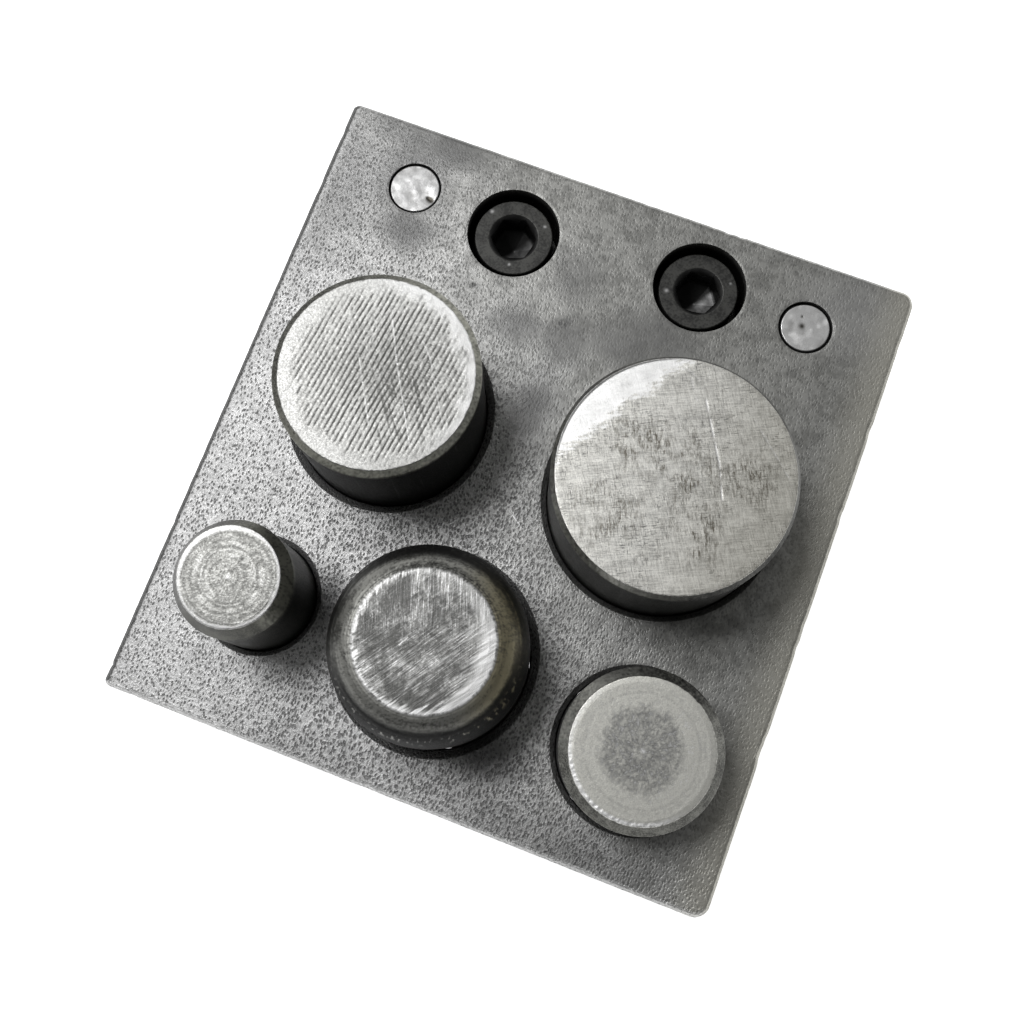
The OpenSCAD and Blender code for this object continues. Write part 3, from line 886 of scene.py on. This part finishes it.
class Finish:
    """A material's node tree. Each method adds nodes and returns the last one's output.
    All lengths are in millimetres."""

    def __init__(self, name, **constants):
        self.material = bpy.data.materials.new(name)
        self.material.use_nodes = True
        self.tree = self.material.node_tree
        self.shader = self.tree.nodes["Principled BSDF"]
        for socket, value in constants.items():
            self.shader.inputs[socket.replace("_", " ")].default_value = value
        self.coordinates = self.tree.nodes.new("ShaderNodeTexCoord").outputs["Object"]

    def node(self, kind, settings, inputs):
        """A node with its settings, and each input joined to an output or set to a value."""
        made = self.tree.nodes.new(kind)
        for key, value in settings.items():
            setattr(made, key, value)
        for socket, value in inputs.items():
            if isinstance(value, bpy.types.NodeSocket):
                self.tree.links.new(value, made.inputs[socket])
            elif value is not None:
                made.inputs[socket].default_value = value
        return made

    def place(self, at=(0, 0, 0), turn=0, size=(1, 1, 1)):
        """Where a point is, from a middle, along axes turned about Z, in units of a size."""
        return self.node("ShaderNodeMapping", {"vector_type": "TEXTURE"}, {
            "Vector": self.coordinates, "Location": [v * MM for v in at],
            "Rotation": (0, 0, math.radians(turn)), "Scale": [v * MM for v in size],
        }).outputs["Vector"]

    def noise(self, size, detail=2.0, rough=0.5, turn=0):
        """Cloudy noise with blobs of about that size, one number or one for each axis."""
        sizes = size if isinstance(size, tuple) else (size, size, size)
        return self.node("ShaderNodeTexNoise", {}, {
            "Vector": self.place(turn=turn, size=sizes), "Scale": 1.0, "Detail": detail,
            "Roughness": rough}).outputs["Fac"]

    def cells(self, size):
        """Distance from the nearest of scattered points, about one to each such size."""
        return self.node("ShaderNodeTexVoronoi", {}, {
            "Vector": self.place(size=size), "Scale": 1.0}).outputs["Distance"]

    def mark(self, name):
        """One of the piece's own values per point."""
        return self.node("ShaderNodeAttribute", {"attribute_name": name}, {}).outputs["Fac"]

    def step(self, value, low, high, start=0.0, end=1.0):
        """start below low, end above high, and an S curve between them."""
        return self.node("ShaderNodeMapRange", {"interpolation_type": "SMOOTHSTEP"}, {
            "Value": value, "From Min": low, "From Max": high, "To Min": start, "To Max": end,
        }).outputs["Result"]

    def sum(self, a, b):
        """One value and another together."""
        return self.node("ShaderNodeMath", {"operation": "ADD"}, {0: a, 1: b}).outputs[0]

    def times(self, a, b):
        """One value as often as another."""
        return self.node("ShaderNodeMath", {"operation": "MULTIPLY"}, {0: a, 1: b}).outputs[0]

    def most(self, a, b):
        """The larger of two values."""
        return self.node("ShaderNodeMath", {"operation": "MAXIMUM"}, {0: a, 1: b}).outputs[0]

    def along(self, way, at=(0, 0, 0)):
        """How far a point lies along a direction, in millimetres from that place."""
        return self.node("ShaderNodeVectorMath", {"operation": "DOT_PRODUCT"},
                         {0: self.place(at), 1: way}).outputs["Value"]

    def spot(self, x, y, along, across, turn=0):
        """1 in the middle of an upright oval column of those half lengths, 0 outside it."""
        away = self.node("ShaderNodeVectorMath", {"operation": "LENGTH"}, {
            0: self.place((x, y, 0), turn, (along, across, ENDLESS))}).outputs["Value"]
        return self.step(away, 0.2, 1.0, 1, 0)

    def blend(self, share, a, b):
        """Colour a where share is 0 and b where it is 1."""
        return self.node("ShaderNodeMix", {"data_type": "RGBA"},
                         {0: share, 6: grey(a), 7: grey(b)}).outputs[2]

    def bump(self, height, strength, depth, under=None):
        """A normal tilted by a height of that depth in millimetres."""
        return self.node("ShaderNodeBump", {}, {
            "Height": height, "Strength": strength, "Distance": depth * MM,
            "Normal": under}).outputs["Normal"]

    def paint(self, colour, roughness, normal):
        """Joins outputs to the shader's inputs and returns the finished material."""
        for socket, value in (("Base Color", colour), ("Roughness", roughness), ("Normal", normal)):
            self.tree.links.new(value, self.shader.inputs[socket])
        return self.material


def grey(value):
    """A colour from one brightness or from three; a node's output stays as it is."""
    if isinstance(value, bpy.types.NodeSocket):
        return value
    return (*value, 1) if isinstance(value, tuple) else (value, value, value, 1)


def scaled(colour, share):
    """A colour made that many times as bright, up to white."""
    return tuple(min(1, share * v) for v in colour)


def shade_patches(f, mottle):
    """Darker patches painted on the plate as shade: the shadow between the rear punches and
    to the right of the small punch, and more round the left dowel and along the front."""
    patches = 0.0
    for x, y, along, across, share in [
            (-26.0, 31.0, 7.5, 11, 0.66), (-2.0, 9.0, 5, 9, 0.52), (6.0, 20.0, 9, 4.5, 0.6),
            (-7.0, 18.0, 6, 4, 0.62), (13.0, -37.0, 14, 7, 0.4), (-10.0, -38.0, 14, 6, 0.3),
            (7.5, -30.0, 6, 5, 0.88), (-15.5, -20.5, 2.5, 5, 0.8), (-24.0, 25.0, 6, 4.5, 0.85),
            (-22.0, 36.5, 6, 4, 0.8), (-1.0, 18.0, 5, 5, 0.6), (-34.0, 28.0, 8, 16, 0.42),
            (0.0, -37.0, 9, 6, 0.2), (9.0, 22.0, 9, 6, 0.6), (-26.0, 37.0, 14, 5, 0.6),
            (-2.0, 9.0, 4, 7, 0.8), (-2.0, 26.0, 5, 5, 0.45), (21.0, -37.0, 13, 6, 0.5)]:
        patches = f.most(patches, f.times(f.spot(x, y, along, across), share))
    return f.times(patches, f.step(mottle, 0.2, 0.6, 0.7, 1.0))


def blasted_steel():
    """Blasted plate steel: dense pits at the front left, smoky and smoother at the back
    right, painted near black inside the holes as shade, darkened in patches as painted
    shade, paler at the front left partly as painted light, and rubbed smooth along the
    left edge."""
    f = Finish("blasted_steel", Metallic=0.75)
    left = box_mm("guide_plate")[0][0]
    across = f.along((1, 0, 0))
    clouds = f.noise(9, 3, 0.6)
    slant = f.along((-0.8, -0.6, 0))
    front = f.step(f.sum(slant, f.times(clouds, 30)), -5, 42)
    ragged = f.noise((0.2, 0.3, 0.2), 3, 0.65)
    ways = f.noise((0.5, 0.8, 0.5), 2, 0.6)
    grain = f.sum(f.cells((0.31, 0.52, 0.31)), f.times(ragged, 0.5))
    wider = f.times(f.step(across, -26, -8), -0.12)
    grain = f.step(f.sum(grain, wider), 0.34, 0.68)
    mottle = f.noise((0.55, 0.7, 0.55), 2, 0.55)
    smoke = f.noise(2.6, 5, 0.65)
    haze = f.sum(f.times(smoke, 0.6), f.times(mottle, 0.4))
    pale = f.blend(f.step(haze, 0.35, 0.65), 0.38, 0.56)
    dull = f.blend(f.step(haze, 0.4, 0.6), (0.225, 0.225, 0.215), (0.37, 0.37, 0.355))
    # paler at the front left and duller at the back right: partly the blasting, partly painted light
    # from the left
    colour = f.blend(front, dull, pale)
    # painted shade patches; fewer pits show under them
    grimy = shade_patches(f, mottle)
    pit_share = f.step(grimy, 0.1, 0.6, 1, 0.45)
    pit_share = f.most(pit_share, f.step(f.along((0, 1, 0)), -12, -2, 1, 0))
    pits = f.times(f.step(grain, 0.05, 0.55, 1, 0), f.times(f.step(ways, 0.3, 0.55, 0.6, 1), pit_share))
    peaks = f.times(f.step(grain, 0.55, 0.95), f.step(ragged, 0.4, 0.65))
    colour = f.blend(f.times(peaks, f.step(front, 0, 0.8, 0.04, 0.6)), colour, 0.85)
    colour = f.blend(f.times(pits, f.step(front, 0, 0.8, 0.35, 0.62)), colour, 0.09)
    warm = f.step(across, 30, 36)
    colour = f.blend(f.times(f.spot(30, 33, 10, 8), 0.35), colour, 0.5)
    colour = f.blend(f.times(warm, 0.65), colour, (0.55, 0.535, 0.47))
    smudge = f.most(f.spot(-14.1, 20.85, 1.6, 0.7, 15), f.spot(-2.3, 19.9, 2.2, 1.3, 40))
    smudge = f.times(smudge, f.step(mottle, 0.35, 0.6))
    colour = f.blend(f.times(smudge, 0.85), colour, 0.06)
    # painted shade: the patches darken the colour
    colour = f.blend(grimy, colour, 0.12)
    colour = f.blend(f.spot(1.15, -3.9, 2.2, 0.07, -33), colour, 0.85)
    rubbed = f.step(f.sum(across, f.times(mottle, 1.2)), left + 1.2, left + 2.1, 0.9, 0)
    colour = f.blend(rubbed, colour, 0.5)
    # near black where the groove mark is: painted shade in the holes, and the scale on the plate's
    # edges
    colour = f.blend(f.mark("groove"), colour, (0.02, 0.02, 0.019))
    colour = f.blend(f.mark("shine"), colour, 0.95)
    height = f.times(f.sum(f.times(grain, f.times(pit_share, 0.8)), ragged), f.step(front, 0, 0.8, 0.15, 1))
    relief = f.bump(height, 0.62, 0.13)
    return f.paint(colour, f.step(haze, 0.3, 0.7, 0.46, 0.4), relief)


def ground_steel():
    """Ground strip steel with straight grinding lines."""
    f = Finish("ground_steel", Metallic=1.0)
    lines = f.noise((30, 0.12, 0.12), 3, 0.6)
    stain = f.noise(6, 3)
    colour = f.blend(f.step(stain, 0.35, 0.7), 0.3, 0.2)
    relief = f.bump(lines, 0.3, 0.03)
    return f.paint(colour, f.step(lines, 0.3, 0.7, 0.28, 0.42), relief)


def black_oxide():
    """Black oxide on the cap screws, with rubbed flecks on the rims."""
    f = Finish("black_oxide", Metallic=0.6)
    grain = f.noise(0.3, 3, 0.6)
    smear = f.noise(1.6, 3, 0.6)
    colour = f.blend(f.step(smear, 0.3, 0.7), 0.035, 0.075)
    worn = f.blend(f.step(f.sum(grain, smear), 0.8, 1.15), (0.03, 0.03, 0.029), (0.07, 0.07, 0.066))
    colour = f.blend(f.mark("face"), colour, worn)
    # painted shade in the sockets' countersinks and floors
    colour = f.blend(f.mark("groove"), colour, 0.008)
    # painted light on the socket floors, and rubbed flecks on the rims
    colour = f.blend(f.mark("shine"), colour, 0.45)
    relief = f.bump(grain, 0.3, 0.05)
    return f.paint(colour, f.step(grain, 0.2, 0.8, 0.38, 0.55), relief)


def dowel_steel():
    """Bright dowel ends with soft dents and grey stains; the right end is painted brighter
    as light, and the rest painted near black as shade.
    """
    f = Finish("dowel_steel", Metallic=0.85)
    stain = f.noise((0.9, 1.2, 0.9), 4, 0.65)
    # painted light: the right dowel's end is painted brighter than the left's, which gets more of the
    # light
    right = f.step(f.along((1, 0, 0)), -5, 5)
    bright = f.blend(right, 0.56, 0.82)
    end = f.blend(f.step(stain, 0.35, 0.65), bright, f.blend(right, 0.4, 0.64))
    end = f.blend(f.mark("shine"), end, f.blend(right, 0.75, 0.98))
    end = f.blend(f.mark("groove"), end, (0.07, 0.065, 0.055))
    # painted shade: all but the end is near black, as the bevel lies in shade in its hole
    colour = f.blend(f.mark("face"), 0.03, end)
    return f.paint(colour, f.step(stain, 0.3, 0.7, 0.3, 0.45),
                   f.bump(stain, 0.3, 0.06))


def punch_finish(name, face, bevel, side, grooves, bright=0.8, face_rough=0.4, detail=None,
                 olive=None):
    """A punch's finish: black scale with upright streaks on the side, a rubbed bevel darkened
    in sectors as painted shade, and a bare face whose grooves are dark and whose worn places
    and painted highlights are bright."""
    f = Finish(name, Metallic=0.9)
    streak = f.noise((0.4, 0.4, 9), 3, 0.6)
    speck = f.noise(0.17, 2, 0.65)
    scale = f.noise((1.4, 1.4, 2.2), 4, 0.65)
    black = f.blend(f.step(scale, 0.3, 0.7), side, scaled(side, 2.2))
    black = f.blend(f.step(streak, 0.58, 0.75, 0, 0.5), black, 0.12)
    mottle = f.sum(f.times(speck, 0.6), f.times(scale, 0.4))
    band = f.blend(f.step(mottle, 0.4, 0.62), scaled(bevel, 0.6), scaled(bevel, 2.2))
    rubbed = scaled(bevel, 8.5)
    if olive:
        way = f.along((0.95, 0.3, 0))
        rubbed = f.blend(f.step(way, olive[0], olive[1]), rubbed, (0.27, 0.245, 0.165))
    band = f.blend(f.mark("shine"), band, rubbed)
    bare, lines = detail(f, face) if detail else (face, speck)
    bare = f.blend(f.step(speck, 0.3, 0.7, 0, 0.22), bare, 0.12)
    bare = f.blend(f.mark("groove"), bare, grooves)
    # the shine mark: bright scratches and rubbed metal, and painted highlights on rims and a facet
    bare = f.blend(f.mark("shine"), bare, bright)
    # painted shade on the bevel sectors and on the round shoulder's darker places
    band = f.blend(f.mark("groove"), band, 0.01)
    colour = f.blend(f.mark("bevel"), black, band)
    colour = f.blend(f.mark("face"), colour, bare)
    rough = f.step(speck, 0.3, 0.7, face_rough - 0.05, face_rough + 0.08)
    rough = f.sum(rough, f.times(f.mark("groove"), f.times(f.mark("bevel"), 0.2)))
    relief = f.bump(f.times(lines, f.mark("face")), 0.35, 0.035, f.bump(scale, 0.2, 0.08))
    return f.paint(colour, rough, relief)


def filed_finish():
    """The coarsely filed punch: a near white face with dark file strokes."""
    return punch_finish("filed_punch", (0.57, 0.57, 0.555), (0.07, 0.07, 0.062),
                        (0.006, 0.006, 0.006), (0.09, 0.09, 0.085), 0.85, 0.5)


def crossed_lines(f, face):
    """The ground face's colour and relief: broken crossed lines and brownish stains."""
    x0, y0 = middle("punch_rear_right")
    level = f.noise((2.0, 0.14, 1), 4, 0.75, 24.6)
    upright = f.noise((1.6, 0.15, 1), 4, 0.75, 122.9)
    broad = f.noise((4, 1.2, 1), 3, 0.7, 24.6)
    lines = f.sum(f.sum(level, upright), f.times(broad, 0.6))
    bare = f.blend(f.step(lines, 1.0, 1.55), scaled(face, 0.52), face)
    strokes = f.noise((0.8, 0.12, 1), 3, 0.7, 24.6)
    upstrokes = f.noise((0.9, 0.12, 1), 3, 0.7, 117)
    marks = f.most(f.step(strokes, 0.56, 0.66), f.step(upstrokes, 0.57, 0.67))
    zone = f.step(f.noise(4, 3, 0.6), 0.38, 0.58)
    bare = f.blend(f.times(marks, f.times(zone, 0.85)), bare, 0.1)
    warm = f.step(f.along((1, 0, 0)), x0 - 2, x0 + 12)
    bare = f.blend(f.times(warm, 0.35), bare, (0.5, 0.475, 0.38))
    stain = f.noise(2.0, 4, 0.7)
    fleck = f.noise((1.1, 0.24, 0.3), 4, 0.8, 112)
    near = 0.0
    for x, y, reach in [(2.67, -0.13, 5), (-0.4, 1.8, 4.5), (-5.5, -6.26, 5), (3.92, -5.25, 4.6),
                        (7.0, 2.6, 4.6), (-4.7, 2.2, 4.6)]:
        near = f.most(near, f.spot(x0 + x, y0 + y, reach, reach))
    patches = f.times(f.step(stain, 0.36, 0.62), f.step(fleck, 0.42, 0.62))
    stains = f.times(patches, f.sum(0.25, f.times(near, 0.85)))
    bare = f.blend(stains, bare, (0.15, 0.135, 0.105))
    return bare, f.sum(lines, f.times(strokes, -0.6))


def ground_finish():
    """The largest punch: a ground face with fine crossed lines and brownish stains."""
    return punch_finish("ground_punch", (1.0, 0.99, 0.94), (0.06, 0.06, 0.055),
                        (0.022, 0.022, 0.021), (0.2, 0.2, 0.19), 0.95, 0.44, crossed_lines)


def turned_finish():
    """The small turned punch, with a rim painted bright as a highlight."""
    return punch_finish("turned_punch", (0.36, 0.36, 0.345), (0.036, 0.036, 0.031),
                        (0.012, 0.012, 0.01), (0.065, 0.065, 0.061), 0.5)


def worn_lines(f, face):
    """The worn face's colour and relief: fine bright scratches that slant in front and
    stand upright at the back, over darker ones."""
    x0, y0 = middle("punch_front_middle")
    slant = f.noise((2.6, 0.11, 1), 3, 0.7, 56)
    upright = f.noise((2.0, 0.11, 1), 3, 0.7, 110)
    cloud = f.noise(1.5, 2)
    back = f.sum(f.along((-0.38, 0.92, 0), (x0, y0, 0)), f.times(cloud, 3))
    slanting = f.times(f.step(slant, 0.52, 0.62), f.step(back, 1.0, 4.5, 1, 0.2))
    standing = f.times(f.step(upright, 0.52, 0.62), f.step(back, 1.5, 4.5))
    light = f.most(slanting, standing)
    dark = f.times(f.step(f.sum(slant, upright), 0.96, 0.8), f.step(cloud, 0.35, 0.6))
    bare = f.blend(f.times(dark, 0.7), face, 0.1)
    bare = f.blend(f.times(light, 0.85), bare, 1.0)
    return bare, f.sum(slant, upright)


def worn_finish():
    """The punch with a round shoulder, burnished brown in bands."""
    return punch_finish("worn_punch", (0.37, 0.37, 0.36), (0.033, 0.033, 0.031),
                        (0.01, 0.01, 0.009), (0.06, 0.06, 0.057), 1.0, 0.46, worn_lines,
                        olive=(-6.0, 0.0))


def grey_finish():
    """The low punch, dull all over."""
    return punch_finish("grey_punch", (0.76, 0.755, 0.705), (0.12, 0.12, 0.11),
                        (0.02, 0.02, 0.02), (0.24, 0.24, 0.235), 0.95, 0.5)


# ---------------------------------------------------------------- light, floor and camera

CAMERA_AT = (10.81, -26.95, 165.11)
CAMERA_TURN = (10.539, 1.245, 20.968)
FOCAL_PIXELS = 1217.2
PHOTO_MIDDLE = (496.6, 514.3)


def build_camera():
    """The camera at the photograph's place, a hand's breadth above the block."""
    lens = bpy.data.cameras.new("photo_camera")
    lens.sensor_width = SENSOR_WIDTH
    lens.lens = FOCAL_PIXELS / PHOTO_SIDE * SENSOR_WIDTH
    lens.shift_x = (PHOTO_SIDE / 2 - PHOTO_MIDDLE[0]) / PHOTO_SIDE
    lens.shift_y = (PHOTO_MIDDLE[1] - PHOTO_SIDE / 2) / PHOTO_SIDE
    lens.clip_start = 0.005
    camera = placed("photo_camera", lens)
    camera.location = [v * MM for v in CAMERA_AT]
    camera.rotation_euler = Euler([math.radians(v) for v in CAMERA_TURN], "XYZ")
    bpy.context.scene.camera = camera


def build_floor():
    """A plain white floor under the block."""
    side = 3.0
    mesh = bpy.data.meshes.new("floor")
    corners = [(-side, -side, 0), (side, -side, 0), (side, side, 0), (-side, side, 0)]
    mesh.from_pydata(corners, [], [(0, 1, 2, 3)])
    floor = placed("floor", mesh)
    white = Finish("floor_white", Roughness=0.9, Base_Color=grey(0.85),
                   Emission_Color=grey(1.0), Emission_Strength=1.0)
    mesh.materials.append(white.material)


def soft_light(name, way, distance, size, watts):
    """A round soft light that shines at the block from that direction."""
    lamp = bpy.data.lights.new(name, "AREA")
    lamp.shape = "DISK"
    lamp.size = size
    lamp.energy = watts
    obj = placed(name, lamp)
    way = Vector(way).normalized()
    obj.location = way * distance
    obj.rotation_euler = (-way).to_track_quat("-Z", "Y").to_euler()


def pale_room():
    """A room that is pale low down at the back left and darker overhead and in front."""
    world = bpy.data.worlds.new("pale_room")
    bpy.context.scene.world = world
    world.use_nodes = True
    tree = world.node_tree
    way = tree.nodes.new("ShaderNodeTexCoord").outputs["Generated"]
    tilt = tree.nodes.new("ShaderNodeVectorMath")
    tilt.operation = "DOT_PRODUCT"
    tree.links.new(way, tilt.inputs[0])
    tilt.inputs[1].default_value = (-0.5, 0.6, -0.62)
    level = tree.nodes.new("ShaderNodeMapRange")
    tree.links.new(tilt.outputs["Value"], level.inputs["Value"])
    for socket, value in (("From Min", -0.7), ("From Max", 0.6), ("To Min", 0.1), ("To Max", 0.75)):
        level.inputs[socket].default_value = value
    tree.links.new(level.outputs["Result"], tree.nodes["Background"].inputs["Strength"])
    tree.nodes["Background"].inputs["Color"].default_value = (1.0, 1.0, 0.985, 1)


def build_light():
    """Soft daylight from the left, above the block's back left corner."""
    pale_room()
    soft_light("window", (-0.41, 0.13, 0.9), 0.6, 0.24, 1.45)


# ---------------------------------------------------------------- the whole tool

def build_tool():
    """Every piece of the tool, each in place of its plain solid."""
    blasted, black, dowel = blasted_steel(), black_oxide(), dowel_steel()
    build_guide_plate(blasted)
    build_die_plate(blasted)
    build_spacer_strip(ground_steel())
    build_screw("left", 12, 0.45, [(3.07, 2.62, 0.16), (0.71, -3.42, 0.14), (-3.66, 2.25, 0.2)], black)
    build_screw("right", 24, 0.9, [(-3.6, -1.2, 0.22), (3.3, 2.3, 0.12)], black)
    build_dowel("left", [(1.9, -0.6, 0.2), (2.15, -0.65, 0.27), (2.45, -0.75, 0.35)], dowel)
    build_dowel("right", [(-0.42, 0.05, 0.36), (-0.75, 1.2, 0.15)], dowel)
    build_punch("rear_left", filed_face, filed_finish())
    build_punch("rear_right", ground_face, ground_finish())
    build_punch("front_left", turned_face, turned_finish())
    build_punch("front_middle", worn_face, worn_finish())
    build_punch("front_right", dull_face, grey_finish())


build_camera()
build_floor()
build_light()
build_tool()
bpy.context.scene.view_settings.view_transform = "Standard"
bpy.context.view_layer.update()
